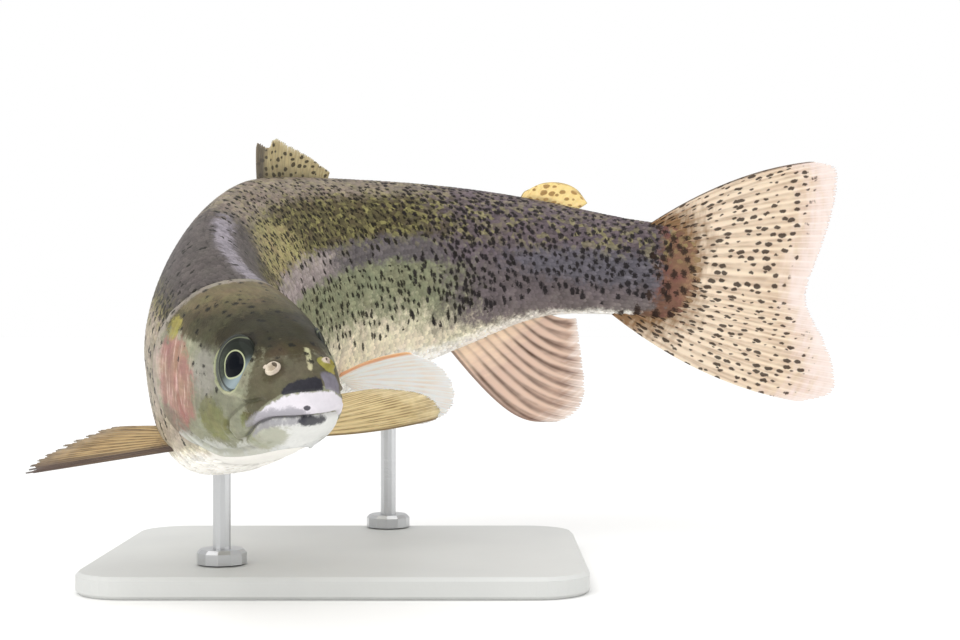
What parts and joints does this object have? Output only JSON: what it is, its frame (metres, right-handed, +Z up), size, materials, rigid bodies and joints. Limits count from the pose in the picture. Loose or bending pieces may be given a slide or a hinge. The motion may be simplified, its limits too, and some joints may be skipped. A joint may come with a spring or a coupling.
{
  "type": "rainbow trout display model",
  "caption": "Life-size still model of a rainbow trout turning in the water, held over a flat plate by short rods.",
  "frame": {"origin": "centre of the stand plate's underside", "axes": "+Z up, +X towards the tail, +Y away from the side that the head turns to"},
  "size_m": [0.241, 0.1955, 0.1313],
  "materials": {
    "skin": "gloss",
    "throat_skin": "gloss",
    "gill_cover": "gloss",
    "fin": "satin",
    "eye": "gloss",
    "stand_plate": "satin",
    "stand_rod": "brushed"
  },
  "bodies": {
    "root": {"head": "skin", "lower_jaw": "throat_skin", "gill_cover_left": "gill_cover", "gill_cover_right": "gill_cover", "eye_left": "eye", "eye_right": "eye", "trunk_front": "skin", "trunk_middle": "skin", "trunk_rear": "skin", "tail_stem": "skin", "fin_dorsal": "fin", "fin_adipose": "fin", "fin_anal": "fin", "fin_caudal": "fin", "fin_pectoral_left": "fin", "fin_pectoral_right": "fin", "fin_pelvic_left": "fin", "fin_pelvic_right": "fin", "stand_base": "stand_plate", "stand_rod_front": "stand_rod", "stand_rod_rear": "stand_rod"}
  },
  "joints": []
}
